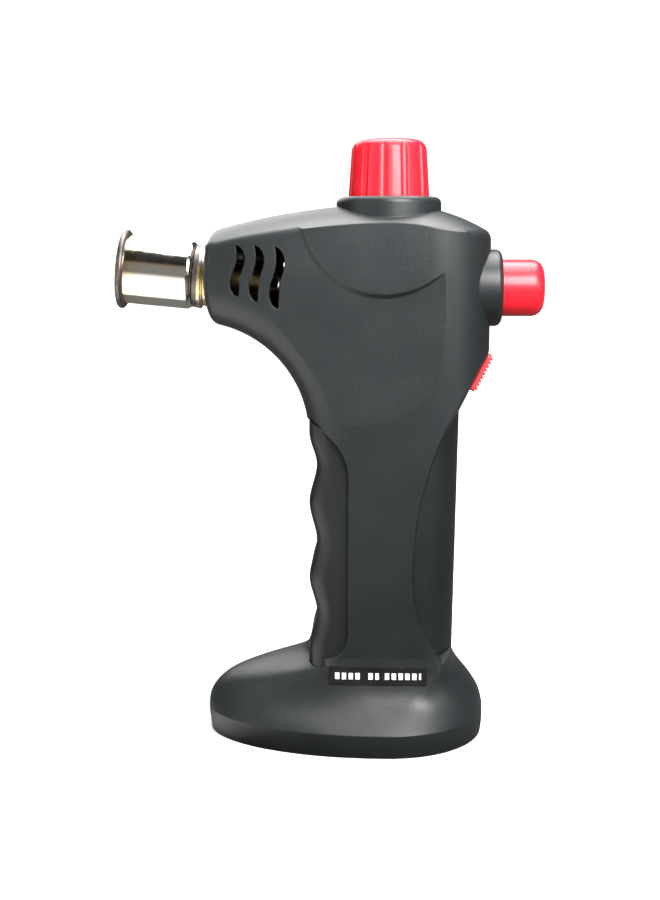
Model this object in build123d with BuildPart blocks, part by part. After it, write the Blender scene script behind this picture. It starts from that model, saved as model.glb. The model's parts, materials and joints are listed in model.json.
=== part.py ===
from build123d import *
import os
from math import asin, atan, cos, degrees, hypot, radians, sin, sqrt, tan

# A bench torch with its butane tank in the handle. Millimetres, +Z up, origin at the centre of the
# base's underside. The flame leaves towards -X, the user's thumb is at +X.

os.makedirs("parts", exist_ok=True)

# ---- housing: head, neck and handle -------------------------------------------------------------
HALF_WIDTH = 15.5           # flat sides of head and handle
REAR_X = 37.1               # back of the head
HEAD_WALL = 2.2
TANK_GAP = 0.1              # between the tank and the housing around it
NOSE_BULGE_R = 40.0         # front face of the head, slightly bulged
NOSE_CENTRE = (4.2, 120.0)
THROAT_R = 29.0             # concave arc under the nose
THROAT_CENTRE = (-38.5, 79.5)
THROAT_EDGE_R = 9.0         # rounding of the throat's side edges
NOSE_EDGE_R = 3.0
FLAT_FRONT_X = -2.0         # the sides are flat behind here and draw in towards the nose
SIDE_DRAW_R = 276.0
CROWN_APEX = (12.0, 138.4)  # highest point of the head's roof, under the knob collar
CROWN_FRONT_R = 165.0
CROWN_REAR_R = 47.0
CROWN_ACROSS_R = 26.5
FORM_FOOT_Z = 19.0          # where head and handle stop inside the base's flare

# ---- cut-outs that show the tank ----------------------------------------------------------------
GRIP_EDGE_X = 1.0           # edge of the side panel beside the finger grip
GRIP_TOP_R = 13.0
GRIP_TOP_Z = 69.8
GRIP_TOP_TURN = 54.0        # degrees that the arc turns before it runs straight to the front
GRIP_FOOT_R = 6.5
GRIP_FOOT_Z = 29.0
SLOPE_POINT = (29.0, 85.5)  # the slope under the button meets the tank here
SLOPE_RUN = 0.5             # X per Z along the slope
SLOPE_LAND = 5.0            # half width of the flat land that the slider runs on

# ---- base ---------------------------------------------------------------------------------------
BASE_WALL = 2.2
# height, front end, rear end and half width of the base's egg-shaped sections
FLARE = (
    (0.0, -36.0, 36.1, 25.9), (3.0, -36.5, 36.5, 26.4), (6.0, -36.7, 36.5, 26.5),
    (7.6, -36.6, 36.4, 24.5), (9.4, -36.2, 36.0, 22.0),
    (11.4, -35.1, 35.3, 19.7), (13.4, -33.3, 34.1, 18.2), (15.3, -30.6, 32.7, 17.3),
    (17.0, -26.6, 31.2, 16.7), (18.8, -20.6, 29.7, 16.2), (20.5, -14.0, 28.8, 15.9),
    (22.3, -10.6, 28.2, 15.6), (24.5, -9.6, 27.9, 15.5),
)
RIM_SECTIONS = 3            # the first sections form the upright rim, the others the flare
BASE_PLATE_T = 2.0
BASE_SCREWS = ((-24.0, 8.0), (-24.0, -8.0), (12.0, 19.3), (12.0, -19.3))

# ---- tank ---------------------------------------------------------------------------------------
TANK_HALF_WIDTH = 14.0
TANK_WALL = 2.0
TANK_FOOT_Z = 4.0
TANK_TOP_Z = 86.0
TANK_REAR_TOP_X = 29.4
TANK_REAR_FOOT_X = 27.9
GRIP_CREST_X = -9.2
GRIP_VALLEY_X = -7.3
GRIP_CRESTS_Z = (81.0, 62.9, 43.3, 24.6)
GRIP_VALLEYS_Z = (72.6, 52.8, 34.0)
GRIP_EDGE_R = 4.0
NECK_CORE_X = -7.1          # front, side and corner of the tank where it stands inside the neck
NECK_CORE_Y = 13.1
NECK_CORE_R = 6.7

# ---- controls -----------------------------------------------------------------------------------
KNOB_X = 10.9
KNOB_FOOT_R = 10.45
KNOB_TOP_R = 9.4
KNOB_FOOT_Z = 138.7
KNOB_TOP_Z = 155.0
KNOB_FLUTES = 12
COLLAR_R = 13.4
COLLAR_TOP_Z = 140.2
COLLAR_BORE_R = 11.0
COLLAR_FLOOR_Z = 137.4
BUTTON_Z = 117.2
BUTTON_R = 7.25
BUTTON_END_X = 50.7
BUTTON_TRAVEL = 5.0
BUTTON_COLLAR_R = 9.8
BUTTON_COLLAR_X = 39.9
SLIDER_LENGTH = 10.4
SLIDER_WIDTH = 9.0
SLIDER_TRAVEL = 3.5

# ---- burner -------------------------------------------------------------------------------------
BURNER_FACE = (-36.0, 120.0)  # where the burner axis leaves the head
BURNER_TILT = 5.4             # degrees, rising towards the flame
CUP_R = 8.72
CUP_REAR = 3.0                # along the burner axis, from the head's face
CUP_FRONT = 22.4
TUBE_R = 4.5

burner_plane = Plane(
    origin=(BURNER_FACE[0], 0, BURNER_FACE[1]),
    x_dir=(0, 1, 0),
    z_dir=(-cos(radians(BURNER_TILT)), 0, sin(radians(BURNER_TILT))),
)


def save(builder, name):
    """Label a finished piece and write it as its own STEP file."""
    builder.part.label = name
    export_step(builder.part, f"parts/{name}.step")
    print(f"{name:22s} solids {len(builder.part.solids())}  volume {builder.part.volume:10.2f}")


# ================================== forms shared by several pieces ================================

def crown_cutter(inset):
    """Everything above the roof: a crowned section turned about two axes that run along Y."""
    across_r = CROWN_ACROSS_R - inset
    apex_z = CROWN_APEX[1] - inset
    reach = 19.0
    edge_z = apex_z - across_r + sqrt(across_r**2 - reach**2)
    cover_z = apex_z + 12
    pieces = []
    for radius, way, turn in ((CROWN_FRONT_R, -1, 22), (CROWN_REAR_R, 1, 75)):
        axis = Axis((CROWN_APEX[0], 0, CROWN_APEX[1] - radius), (0, way, 0))
        with BuildPart() as piece:
            with BuildSketch(Plane.YZ.offset(CROWN_APEX[0])):
                with BuildLine():
                    ThreePointArc((-reach, edge_z), (0, apex_z), (reach, edge_z))
                    Polyline((reach, edge_z), (reach, cover_z), (-reach, cover_z), (-reach, edge_z))
                make_face()
            revolve(axis=axis, revolution_arc=turn)
        pieces.append(piece.part)
    return pieces


def circle_crossing(centre_a, radius_a, centre_b, radius_b):
    """The left one of the two points where two circles in the XZ plane cross."""
    span_x = centre_b[0] - centre_a[0]
    span_z = centre_b[1] - centre_a[1]
    span = hypot(span_x, span_z)
    along = (radius_a**2 - radius_b**2 + span**2) / (2 * span)
    across = sqrt(radius_a**2 - along**2)
    return (centre_a[0] + (along * span_x - across * span_z) / span,
            centre_a[1] + (along * span_z + across * span_x) / span)


def head_form(inset, throat_edge_r, edge_r):
    """Head, neck and handle as one solid, moved in by inset all round."""
    throat_r = THROAT_R + inset
    nose_r = NOSE_BULGE_R - inset
    neck_x = THROAT_CENTRE[0] + throat_r
    half_width = HALF_WIDTH - inset
    rear_x = REAR_X - inset
    nose_foot = circle_crossing(THROAT_CENTRE, throat_r, NOSE_CENTRE, nose_r)
    top_z = CROWN_APEX[1] + 4
    nose_top = (NOSE_CENTRE[0] - sqrt(nose_r**2 - (top_z - NOSE_CENTRE[1])**2), top_z)
    middle = radians(40)
    throat_middle = (THROAT_CENTRE[0] + throat_r * cos(middle),
                     THROAT_CENTRE[1] + throat_r * sin(middle))
    neck_top = (neck_x, THROAT_CENTRE[1])
    draw_r = SIDE_DRAW_R - inset

    def side_y(x):
        return half_width - draw_r + sqrt(draw_r**2 - (FLAT_FRONT_X - x)**2)

    with BuildPart() as form:
        with BuildSketch(Plane.XZ):
            with BuildLine():
                ThreePointArc(nose_top, (NOSE_CENTRE[0] - nose_r, NOSE_CENTRE[1]), nose_foot)
                ThreePointArc(nose_foot, throat_middle, neck_top)
                Polyline(neck_top, (neck_x, FORM_FOOT_Z), (rear_x, FORM_FOOT_Z), (rear_x, top_z),
                         nose_top)
            make_face()
        extrude(amount=2 * HALF_WIDTH, both=True)
        with BuildSketch(Plane.XY):
            tip_x = NOSE_CENTRE[0] - NOSE_BULGE_R - 4
            mid_x = (tip_x + FLAT_FRONT_X) / 2
            round_x = rear_x - half_width
            with BuildLine():
                ThreePointArc((tip_x, side_y(tip_x)), (mid_x, side_y(mid_x)),
                              (FLAT_FRONT_X, half_width))
                Line((FLAT_FRONT_X, half_width), (round_x, half_width))
                ThreePointArc((round_x, half_width), (rear_x, 0), (round_x, -half_width))
                Line((round_x, -half_width), (FLAT_FRONT_X, -half_width))
                ThreePointArc((FLAT_FRONT_X, -half_width), (mid_x, -side_y(mid_x)),
                              (tip_x, -side_y(tip_x)))
                Line((tip_x, -side_y(tip_x)), (tip_x, side_y(tip_x)))
            make_face()
        extrude(amount=top_z + 10, mode=Mode.INTERSECT)
        for piece in crown_cutter(inset):
            add(piece, mode=Mode.SUBTRACT)
        if throat_edge_r:
            throat = form.edges().filter_by(
                lambda e: abs((e @ 0.5).Y) > 5
                and abs(hypot((e @ 0.5).X - THROAT_CENTRE[0], (e @ 0.5).Z - THROAT_CENTRE[1])
                        - throat_r) < 0.01)
            neck = form.edges().filter_by(Axis.Z).filter_by(
                lambda e: abs((e @ 0.5).X - neck_x) < 0.01)
            fillet(throat + neck, radius=throat_edge_r)
        if edge_r:
            nose_face = form.faces().sort_by(Axis.X)[0]
            roof_faces = form.faces().filter_by(lambda f: f.center().Z > 132)
            chosen = ShapeList(nose_face.edges())
            for face in roof_faces:
                for edge in face.edges():
                    on_crest = abs((edge @ 0.5).Y) > 2 or (edge @ 0.5).X > 30
                    known = any((edge @ 0.5 - other @ 0.5).length < 1e-4 for other in chosen)
                    if on_crest and not known:
                        chosen.append(edge)
            fillet(chosen, radius=edge_r)
    return form.part


def flare_section(z, front_x, rear_x, half_width):
    """One egg-shaped section of the base: two half ellipses joined by two straight sides."""
    rise = min(1.0, max(0.0, (z - 6.0) / (FLARE[-1][0] - 6.0)))
    front_centre = 9.0 * (1 - rise)
    rear_centre = 11.0 + 12.5 * min(1.0, 1.4 * rise)
    with BuildSketch(Plane.XY.offset(z)) as section:
        with BuildLine():
            Line((front_centre, -half_width), (rear_centre, -half_width))
            EllipticalCenterArc((rear_centre, 0), rear_x - rear_centre, half_width,
                                start_angle=-90, arc_size=180)
            Line((rear_centre, half_width), (front_centre, half_width))
            EllipticalCenterArc((front_centre, 0), front_centre - front_x, half_width,
                                start_angle=90, arc_size=180)
        make_face()
    return section.sketch


def flare_form(inset):
    """The base: its low wall and the flare that rises to the handle, moved in by inset."""
    rise = 0.4 * inset
    sections = []
    for z, front_x, rear_x, half_width in FLARE:
        foot = z if inset == 0 or z == 0 else z - rise
        sections.append(flare_section(foot, front_x + inset, rear_x - inset, half_width - inset))
    with BuildPart() as form:
        loft(sections[:RIM_SECTIONS])
        loft(sections[RIM_SECTIONS - 1:])
    return form.part


def grip_cutter():
    """The opening in front of the handle, seen from the side."""
    foot_x = GRIP_EDGE_X - GRIP_FOOT_R
    top_x = GRIP_EDGE_X - GRIP_TOP_R
    lean = radians(45)
    turn = radians(GRIP_TOP_TURN)
    foot_end = (foot_x - GRIP_FOOT_R * sin(lean), GRIP_FOOT_Z - GRIP_FOOT_R * cos(lean))
    top_end = (top_x + GRIP_TOP_R * cos(turn), GRIP_TOP_Z + GRIP_TOP_R * sin(turn))
    top_front = (-30, top_end[1] + (top_end[0] + 30) / tan(turn))
    with BuildPart() as cutter:
        with BuildSketch(Plane.XZ):
            with BuildLine():
                Line((GRIP_EDGE_X, GRIP_TOP_Z), (GRIP_EDGE_X, GRIP_FOOT_Z))
                ThreePointArc((GRIP_EDGE_X, GRIP_FOOT_Z),
                              (foot_x + GRIP_FOOT_R * sin(lean), GRIP_FOOT_Z - GRIP_FOOT_R * cos(lean)),
                              foot_end)
                Polyline(foot_end, (-30, 45), top_front, top_end)
                ThreePointArc(top_end,
                              (top_x + GRIP_TOP_R * cos(turn / 2), GRIP_TOP_Z + GRIP_TOP_R * sin(turn / 2)),
                              (GRIP_EDGE_X, GRIP_TOP_Z))
            make_face()
        extrude(amount=2 * HALF_WIDTH, both=True)
    return cutter.part


def slope_outline(inset):
    """Side view of all that lies behind the slope under the button and behind the side panels."""
    panel = (19.4 - inset, 45.0)       # foremost point of the panel's rear edge
    upper_r = 90.0
    lower_r = 35.0
    upper_end = (27.9 - inset, 83.3)
    slope_top_z = 101.2
    slope_top = (SLOPE_POINT[0] + SLOPE_RUN * (slope_top_z - SLOPE_POINT[1]) - 1.12 * inset, slope_top_z)
    lower_end = (27.3 - inset, 20.8)
    with BuildLine() as outline:
        Line(slope_top, upper_end)
        RadiusArc(upper_end, panel, -upper_r)
        RadiusArc(panel, lower_end, -lower_r)
        Polyline(lower_end, (lower_end[0], FORM_FOOT_Z - 1), (60, FORM_FOOT_Z - 1), (60, slope_top_z),
                 slope_top)
    return outline.line


def slope_cutter(inset):
    """The slope's cut: straight across the slider's land, drawn forward beside it."""
    with BuildPart() as cutter:
        with BuildSketch(Plane.XZ):
            add(slope_outline(inset))
            make_face()
        extrude(amount=SLOPE_LAND, both=True)
        for side in (1, -1):
            with BuildSketch(Plane.XZ.offset(side * SLOPE_LAND)):
                add(slope_outline(inset))
                make_face()
            extrude(amount=15, dir=(-0.2, -side, 0))
    return cutter.part


def tank_shoulder(inset):
    """What the tank leaves free above the grip, where the neck closes round it."""
    arc_r = GRIP_TOP_R + 0.2 - inset
    centre_x = GRIP_EDGE_X - GRIP_TOP_R
    low = radians(30)
    high = radians(GRIP_TOP_TURN)
    middle = (low + high) / 2
    arc_low = (centre_x + arc_r * cos(low), GRIP_TOP_Z + arc_r * sin(low))
    arc_middle = (centre_x + arc_r * cos(middle), GRIP_TOP_Z + arc_r * sin(middle))
    arc_high = (centre_x + arc_r * cos(high), GRIP_TOP_Z + arc_r * sin(high))
    front = (-30, arc_high[1] + (arc_high[0] + 30) / tan(high))
    roof_z = front[1] + 5
    core_front = NECK_CORE_X + inset
    core_rear = 40.0
    with BuildPart() as shoulder:
        with BuildSketch(Plane.XZ):
            with BuildLine():
                ThreePointArc(arc_high, arc_middle, arc_low)
                Polyline(arc_low, (arc_low[0], roof_z), (-30, roof_z), front, arc_high)
            make_face()
        extrude(amount=2 * HALF_WIDTH, both=True)
        with BuildSketch(Plane.XY.offset(GRIP_TOP_Z)):
            with Locations(((core_front + core_rear) / 2, 0)):
                RectangleRounded(core_rear - core_front, 2 * (NECK_CORE_Y - inset), NECK_CORE_R - inset)
        extrude(amount=60, mode=Mode.SUBTRACT)
    return shoulder.part


def tank_form(inset, half_width, foot_z, top_z, grip_edge_r, rear_edge_r):
    """The tank: a block with a wavy finger grip in front and a round back."""
    waves = [(GRIP_CREST_X + inset, TANK_TOP_Z + 2)]
    for index, crest_z in enumerate(GRIP_CRESTS_Z):
        waves.append((GRIP_CREST_X + inset, crest_z))
        if index < len(GRIP_VALLEYS_Z):
            waves.append((GRIP_VALLEY_X + inset, GRIP_VALLEYS_Z[index]))
    waves.append((GRIP_CREST_X + 1 + inset, foot_z))
    rear_slant = (TANK_REAR_TOP_X - TANK_REAR_FOOT_X) / (TANK_TOP_Z - TANK_FOOT_Z)
    rear_foot = (TANK_REAR_FOOT_X - inset + rear_slant * (foot_z - TANK_FOOT_Z), foot_z)
    rear_top = (TANK_REAR_FOOT_X - inset + rear_slant * (TANK_TOP_Z + 2 - TANK_FOOT_Z), TANK_TOP_Z + 2)
    with BuildPart() as form:
        with BuildSketch(Plane.XZ):
            with BuildLine():
                Spline(*waves, tangents=[(0, -1)] * len(waves))
                Polyline(waves[-1], rear_foot, rear_top, waves[0])
            make_face()
        extrude(amount=half_width, both=True)
        upright = form.edges().filter_by(
            lambda e: abs((e @ 0.5).Y) > half_width - 0.01 and abs((e % 0.5).Z) > 0.9)
        fillet(upright.group_by(Axis.X)[0], radius=grip_edge_r)
        rear = form.edges().filter_by(
            lambda e: abs((e @ 0.5).Y) > half_width - 0.01 and abs((e % 0.5).Z) > 0.9
            and (e @ 0.5).X > 20)
        fillet(rear, radius=rear_edge_r)
        add(tank_shoulder(inset), mode=Mode.SUBTRACT)
        with BuildSketch(Plane.XY.offset(top_z)):
            Rectangle(120, 120)
        extrude(amount=20, mode=Mode.SUBTRACT)
    return form.part


def vent_cutter(top_x, top_z, height):
    """One S-shaped vent through both sides of the head."""
    tall = height / VENT_HEIGHT
    right_side = [(top_x + x, top_z - down * tall) for x, down in VENT_RIGHT]
    left_side = [(top_x + x, top_z - down * tall) for x, down in VENT_LEFT]
    with BuildPart() as cutter:
        with BuildSketch(Plane.XZ):
            with BuildLine():
                Spline(*right_side)
                Spline(*left_side)
            make_face()
        extrude(amount=2 * HALF_WIDTH, both=True)
    return cutter.part


def coil_spring(plane, radius, wire_r, length, turns):
    """A closed solid of a coil spring, standing on its plane."""
    with BuildPart() as upright:
        with BuildLine():
            coil = Helix(pitch=(length - 2 * wire_r) / turns, height=length - 2 * wire_r, radius=radius,
                         center=(0, 0, wire_r))
        with BuildSketch(Plane(origin=coil @ 0, z_dir=coil % 0)):
            Circle(wire_r)
        sweep(is_frenet=True)
    with BuildPart() as spring:
        add(upright.part.moved(plane.location))
    return spring


# ========================================== housing ===============================================

PAD_CENTRE = (10.0, 136.9)
PAD_R = 21.1
SCOOP_CENTRE = (2.0, 112.0)    # shallow dish under each half-moon pad
SCOOP_R = 29.0
SCOOP_DEPTH = 1.1
# upper left corner and height of each vent
VENTS = ((-27.3, 128.1, 12.9), (-22.5, 128.0, 14.1), (-17.4, 127.7, 15.5))
# outline of a vent: distance rearwards and downwards from its upper left corner
VENT_HEIGHT = 13.9
VENT_RIGHT = ((0.0, 0.0), (1.5, 0.9), (2.4, 2.8), (2.1, 5.6), (1.3, 8.2), (1.0, 10.9), (0.7, 13.9))
VENT_LEFT = ((0.7, 13.9), (-0.8, 12.9), (-1.5, 10.4), (-0.9, 7.6), (0.1, 4.8), (0.3, 2.6), (0.0, 0.0))
HOUSING_SCREWS = ((1.0, 127.0), (23.5, 128.0), (-5.0, 98.5))
SCREW_R = 1.1
SCREW_HEAD_R = 2.2
BOSS_R = 3.0
HOUSING_SCREW_SEAT_Y = 11.5
BASE_SCREW_DEPTH = 6.0
REFILL_X = 10.0
NUT_R = 7.6
SPINDLE_R = 3.0
BUTTON_FLANGE_R = 8.3
BUTTON_STOP_X = 34.2           # inner face that the button's flange rests against
TAB_WIDTH = 4.0
SLOT_LENGTH = 8.0
SLIDER_Z = 95.9                # middle of the slider at rest

# slope's frame: X runs down the slope, Z points out of it
slope_angle = hypot(1.0, SLOPE_RUN)
slope_plane = Plane(
    origin=(SLOPE_POINT[0] + SLOPE_RUN * (SLIDER_Z - SLOPE_POINT[1]), 0, SLIDER_Z),
    x_dir=(-SLOPE_RUN / slope_angle, 0, -1 / slope_angle),
    z_dir=(1 / slope_angle, 0, -SLOPE_RUN / slope_angle),
)

sharp_head = head_form(0, THROAT_EDGE_R, 0)
soft_head = head_form(0, THROAT_EDGE_R, NOSE_EDGE_R)
head_hollow = head_form(HEAD_WALL, THROAT_EDGE_R - HEAD_WALL, 0)
slope_cut = slope_cutter(0)
slope_hollow_cut = slope_cutter(HEAD_WALL)
grip_cut = grip_cutter()
base_form = flare_form(0)
base_hollow = flare_form(BASE_WALL)
tank_space = tank_form(-TANK_GAP, TANK_HALF_WIDTH + TANK_GAP, -1.0, TANK_TOP_Z, GRIP_EDGE_R, 13.0)

with BuildPart() as pads:
    # the half-moons keep the sharp edge between roof and side
    for side in (1, -1):
        with BuildSketch(Plane.XZ.offset(side * (HALF_WIDTH + 1.0))):
            with Locations(PAD_CENTRE):
                Circle(PAD_R - 1.0)
        extrude(amount=-side * 4, taper=-45)
    add(sharp_head, mode=Mode.INTERSECT)

with BuildPart() as heel_notch:
    # behind the side panels the base rises to the tank's back only along the middle
    with BuildSketch(Plane.YZ.offset(15)):
        Polygon((-40, 21.4), (-14.5, 21.4), (-3, 24.2), (3, 24.2), (14.5, 21.4), (40, 21.4), (40, 60),
                (-40, 60), align=None)
    extrude(amount=30)
    add(slope_cut, mode=Mode.INTERSECT)

with BuildPart() as inner_space:
    add(head_hollow)
    add(slope_hollow_cut, mode=Mode.SUBTRACT)
    with BuildSketch(Plane.XY.offset(0)):
        Rectangle(120, 60)
    extrude(amount=70, mode=Mode.SUBTRACT)

with BuildPart() as housing:
    add(soft_head)
    dish_r = (SCOOP_R**2 + SCOOP_DEPTH**2) / (2 * SCOOP_DEPTH)
    for side in (1, -1):
        dish_y = side * (HALF_WIDTH - SCOOP_DEPTH + dish_r)
        with Locations((SCOOP_CENTRE[0], dish_y, SCOOP_CENTRE[1])):
            Sphere(dish_r, mode=Mode.SUBTRACT)
    add(pads.part)
    # collar that the knob sits in
    with BuildSketch(Plane.XY.offset(COLLAR_TOP_Z)):
        with Locations((KNOB_X, 0)):
            Circle(COLLAR_R)
    extrude(amount=-15)
    # collar that the button slides in
    with BuildSketch(Plane.YZ.offset(BUTTON_COLLAR_X)):
        with Locations((0, BUTTON_Z)):
            Circle(BUTTON_COLLAR_R)
    extrude(amount=-14)
    fillet(housing.edges().filter_by(GeomType.CIRCLE).filter_by(
        lambda e: abs((e @ 0.5).Z - COLLAR_TOP_Z) < 0.01 or abs((e @ 0.5).X - BUTTON_COLLAR_X) < 0.01),
        radius=1.6)
    add(slope_cut, mode=Mode.SUBTRACT)
    add(base_form)
    add(heel_notch.part, mode=Mode.SUBTRACT)
    add(inner_space.part, mode=Mode.SUBTRACT)
    add(base_hollow, mode=Mode.SUBTRACT)
    add(tank_space, mode=Mode.SUBTRACT)
    # bosses for the screws that hold the halves together, and for the base plate's screws
    with BuildSketch(Plane.XZ.offset(-HALF_WIDTH + 1)):
        with Locations(*HOUSING_SCREWS):
            Circle(BOSS_R)
    extrude(amount=2 * HALF_WIDTH - 2)
    with BuildSketch(Plane.XY.offset(BASE_PLATE_T)):
        with Locations(*BASE_SCREWS):
            Circle(BOSS_R)
    extrude(until=Until.NEXT)
    add(grip_cut, mode=Mode.SUBTRACT)
    for vent in VENTS:
        add(vent_cutter(*vent), mode=Mode.SUBTRACT)
    # seat of the knob, bore of its spindle
    with BuildSketch(Plane.XY.offset(COLLAR_FLOOR_Z)):
        with Locations((KNOB_X, 0)):
            Circle(COLLAR_BORE_R)
    extrude(amount=10, mode=Mode.SUBTRACT)
    with BuildSketch(Plane.XY.offset(120)):
        with Locations((KNOB_X, 0)):
            Circle(SPINDLE_R + 0.06)
    extrude(amount=30, mode=Mode.SUBTRACT)
    # bore of the button and the pocket for its flange
    with BuildSketch(Plane.YZ.offset(26)):
        with Locations((0, BUTTON_Z)):
            Circle(BUTTON_R + 0.1)
    extrude(amount=20, mode=Mode.SUBTRACT)
    with BuildSketch(Plane.YZ.offset(BUTTON_STOP_X)):
        with Locations((0, BUTTON_Z)):
            Circle(BUTTON_FLANGE_R + 0.3)
    extrude(amount=-9, mode=Mode.SUBTRACT)
    # mouth that grips the burner's nut
    with BuildSketch(burner_plane):
        Circle(NUT_R)
    extrude(amount=8, both=True, mode=Mode.SUBTRACT)
    # slot that the slider's tab runs in
    with BuildSketch(slope_plane):
        Rectangle(SLOT_LENGTH, TAB_WIDTH + 0.3)
    extrude(amount=4, both=True, mode=Mode.SUBTRACT)

# seats for the ends of the lever's pin
PIVOT_X = 24.5
PIVOT_Z = 93.5
PIN_R = 1.0
PIN_HALF_LENGTH = HALF_WIDTH - 1.4

halves = {}
for name, keep in (("shell_left", Keep.BOTTOM), ("shell_right", Keep.TOP)):
    with BuildPart() as half:
        add(housing.part)
        split(bisect_by=Plane((0, 0, 0), z_dir=(0, 1, 0)), keep=keep)
        for screw_x, screw_z in HOUSING_SCREWS:
            seat = Plane((screw_x, 0, screw_z), z_dir=(0, 1, 0))
            with BuildSketch(seat):
                Circle(SCREW_R)
            extrude(amount=HALF_WIDTH + 1 if name == "shell_right" else -11.0, mode=Mode.SUBTRACT)
            if name == "shell_right":
                with BuildSketch(seat.offset(HOUSING_SCREW_SEAT_Y)):
                    Circle(SCREW_HEAD_R + 0.3)
                extrude(amount=10, mode=Mode.SUBTRACT)
        with BuildSketch(Plane.XY.offset(BASE_PLATE_T)):
            with Locations(*BASE_SCREWS):
                Circle(SCREW_R)
        extrude(amount=BASE_SCREW_DEPTH, mode=Mode.SUBTRACT)
        with BuildSketch(Plane.XZ):
            with Locations((PIVOT_X, PIVOT_Z)):
                Circle(PIN_R + 0.02)
        extrude(amount=PIN_HALF_LENGTH + 0.1, both=True, mode=Mode.SUBTRACT)
    halves[name] = half
    save(half, name)

# three screws clamp the halves from the right side
with BuildPart() as shell_screws:
    for screw_x, screw_z in HOUSING_SCREWS:
        axis_plane = Plane((screw_x, 0, screw_z), z_dir=(0, 1, 0))
        with BuildSketch(axis_plane.offset(-9.0)):
            Circle(SCREW_R - 0.05)
        extrude(amount=9.0 + HOUSING_SCREW_SEAT_Y)
        with BuildSketch(axis_plane.offset(HOUSING_SCREW_SEAT_Y)):
            Circle(SCREW_HEAD_R)
        extrude(amount=1.6)
        with BuildSketch(axis_plane.offset(HOUSING_SCREW_SEAT_Y + 0.7)):
            Rectangle(3.0, 0.7)
            Rectangle(0.7, 3.0)
        extrude(amount=2, mode=Mode.SUBTRACT)
save(shell_screws, "shell_screws")

# ============================================ base ================================================

PORT_R = 4.6
BASE_SCREW_SEAT = 1.0

with BuildPart() as base_plate:
    add(flare_form(BASE_WALL + 0.1))
    with BuildSketch(Plane.XY.offset(BASE_PLATE_T)):
        Rectangle(120, 80)
    extrude(amount=40, mode=Mode.SUBTRACT)
    with BuildSketch(Plane.XY):
        with Locations((REFILL_X, 0)):
            Circle(PORT_R)
        with Locations(*BASE_SCREWS):
            Circle(SCREW_R + 0.1)
    extrude(amount=BASE_PLATE_T, mode=Mode.SUBTRACT)
    with BuildSketch(Plane.XY):
        with Locations(*BASE_SCREWS):
            Circle(SCREW_HEAD_R + 0.2)
    extrude(amount=BASE_SCREW_SEAT, mode=Mode.SUBTRACT)
save(base_plate, "base_plate")

with BuildPart() as base_screws:
    with BuildSketch(Plane.XY.offset(0.2)):
        with Locations(*BASE_SCREWS):
            Circle(SCREW_HEAD_R)
    extrude(amount=BASE_SCREW_SEAT - 0.2)
    with BuildSketch(Plane.XY.offset(BASE_SCREW_SEAT)):
        with Locations(*BASE_SCREWS):
            Circle(SCREW_R - 0.05)
    extrude(amount=BASE_PLATE_T - BASE_SCREW_SEAT + BASE_SCREW_DEPTH - 0.5)
    with BuildSketch(Plane.XY):
        with Locations(*BASE_SCREWS):
            Rectangle(3.0, 0.6)
            Rectangle(0.6, 3.0)
    extrude(amount=0.7, mode=Mode.SUBTRACT)
save(base_screws, "base_screws")

# thin sticker that follows the flare at the foot of the handle
LABEL_T = 0.14
LABEL_GAP = 0.02
with BuildPart() as label_sticker:
    with BuildSketch(Plane.XZ.offset(HALF_WIDTH - 1)):
        with Locations((8.6, 18.5)):
            RectangleRounded(25.2, 4.4, 0.5)
    extrude(amount=5)
    add(flare_form(-LABEL_T), mode=Mode.INTERSECT)
    add(flare_form(-LABEL_GAP), mode=Mode.SUBTRACT)
save(label_sticker, "label_sticker")

# ============================================ tank ================================================

LID_T = 3.0
LID_CENTRE_X = 9.5
LID_LENGTH = 32.0
SEAL_T = 0.8
TANK_FLOOR_T = 3.0
REFILL_BODY_R = 3.5

with BuildPart() as fuel_tank:
    add(tank_form(0, TANK_HALF_WIDTH, TANK_FOOT_Z, TANK_TOP_Z, GRIP_EDGE_R, 12.9))
    add(tank_form(TANK_WALL, TANK_HALF_WIDTH - TANK_WALL, TANK_FOOT_Z + TANK_FLOOR_T, TANK_TOP_Z,
                  GRIP_EDGE_R / 2, 10.9), mode=Mode.SUBTRACT)
    with BuildSketch(Plane.XY.offset(TANK_FOOT_Z)):
        with Locations((REFILL_X, 0)):
            Circle(REFILL_BODY_R)
    extrude(amount=TANK_FLOOR_T, mode=Mode.SUBTRACT)
save(fuel_tank, "fuel_tank")

with BuildPart() as tank_seal:
    with BuildSketch(Plane.XY.offset(TANK_TOP_Z)):
        with Locations((LID_CENTRE_X, 0)):
            RectangleRounded(LID_LENGTH, 25.8, 7.0)
            RectangleRounded(LID_LENGTH - 2.4, 23.4, 6.0, mode=Mode.SUBTRACT)
    extrude(amount=SEAL_T)
save(tank_seal, "tank_seal")

LID_TOP_Z = TANK_TOP_Z + SEAL_T + LID_T
VALVE_FOOT_Z = LID_TOP_Z + 2.0
with BuildPart() as tank_lid:
    with BuildSketch(Plane.XY.offset(TANK_TOP_Z + SEAL_T)):
        with Locations((LID_CENTRE_X, 0)):
            RectangleRounded(LID_LENGTH, 25.8, 7.0)
    extrude(amount=LID_T)
    with BuildSketch(Plane.XY.offset(LID_TOP_Z)):
        with Locations((KNOB_X, 0)):
            Circle(6.0)
    extrude(amount=VALVE_FOOT_Z - LID_TOP_Z)
    add(slope_hollow_cut, mode=Mode.SUBTRACT)
    with BuildSketch(Plane.XY.offset(TANK_TOP_Z)):
        with Locations((KNOB_X, 0)):
            Circle(2.5)
    extrude(amount=12, mode=Mode.SUBTRACT)
save(tank_lid, "tank_lid")

# wick that draws the fuel up to the valve
WICK_FOOT_Z = 17.0
with BuildPart() as fuel_wick:
    with BuildSketch(Plane.XY.offset(WICK_FOOT_Z)):
        with Locations((KNOB_X, 0)):
            Circle(1.8)
    extrude(amount=TANK_TOP_Z - WICK_FOOT_Z)
save(fuel_wick, "fuel_wick")

# ======================================== refill valve ============================================

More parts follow.
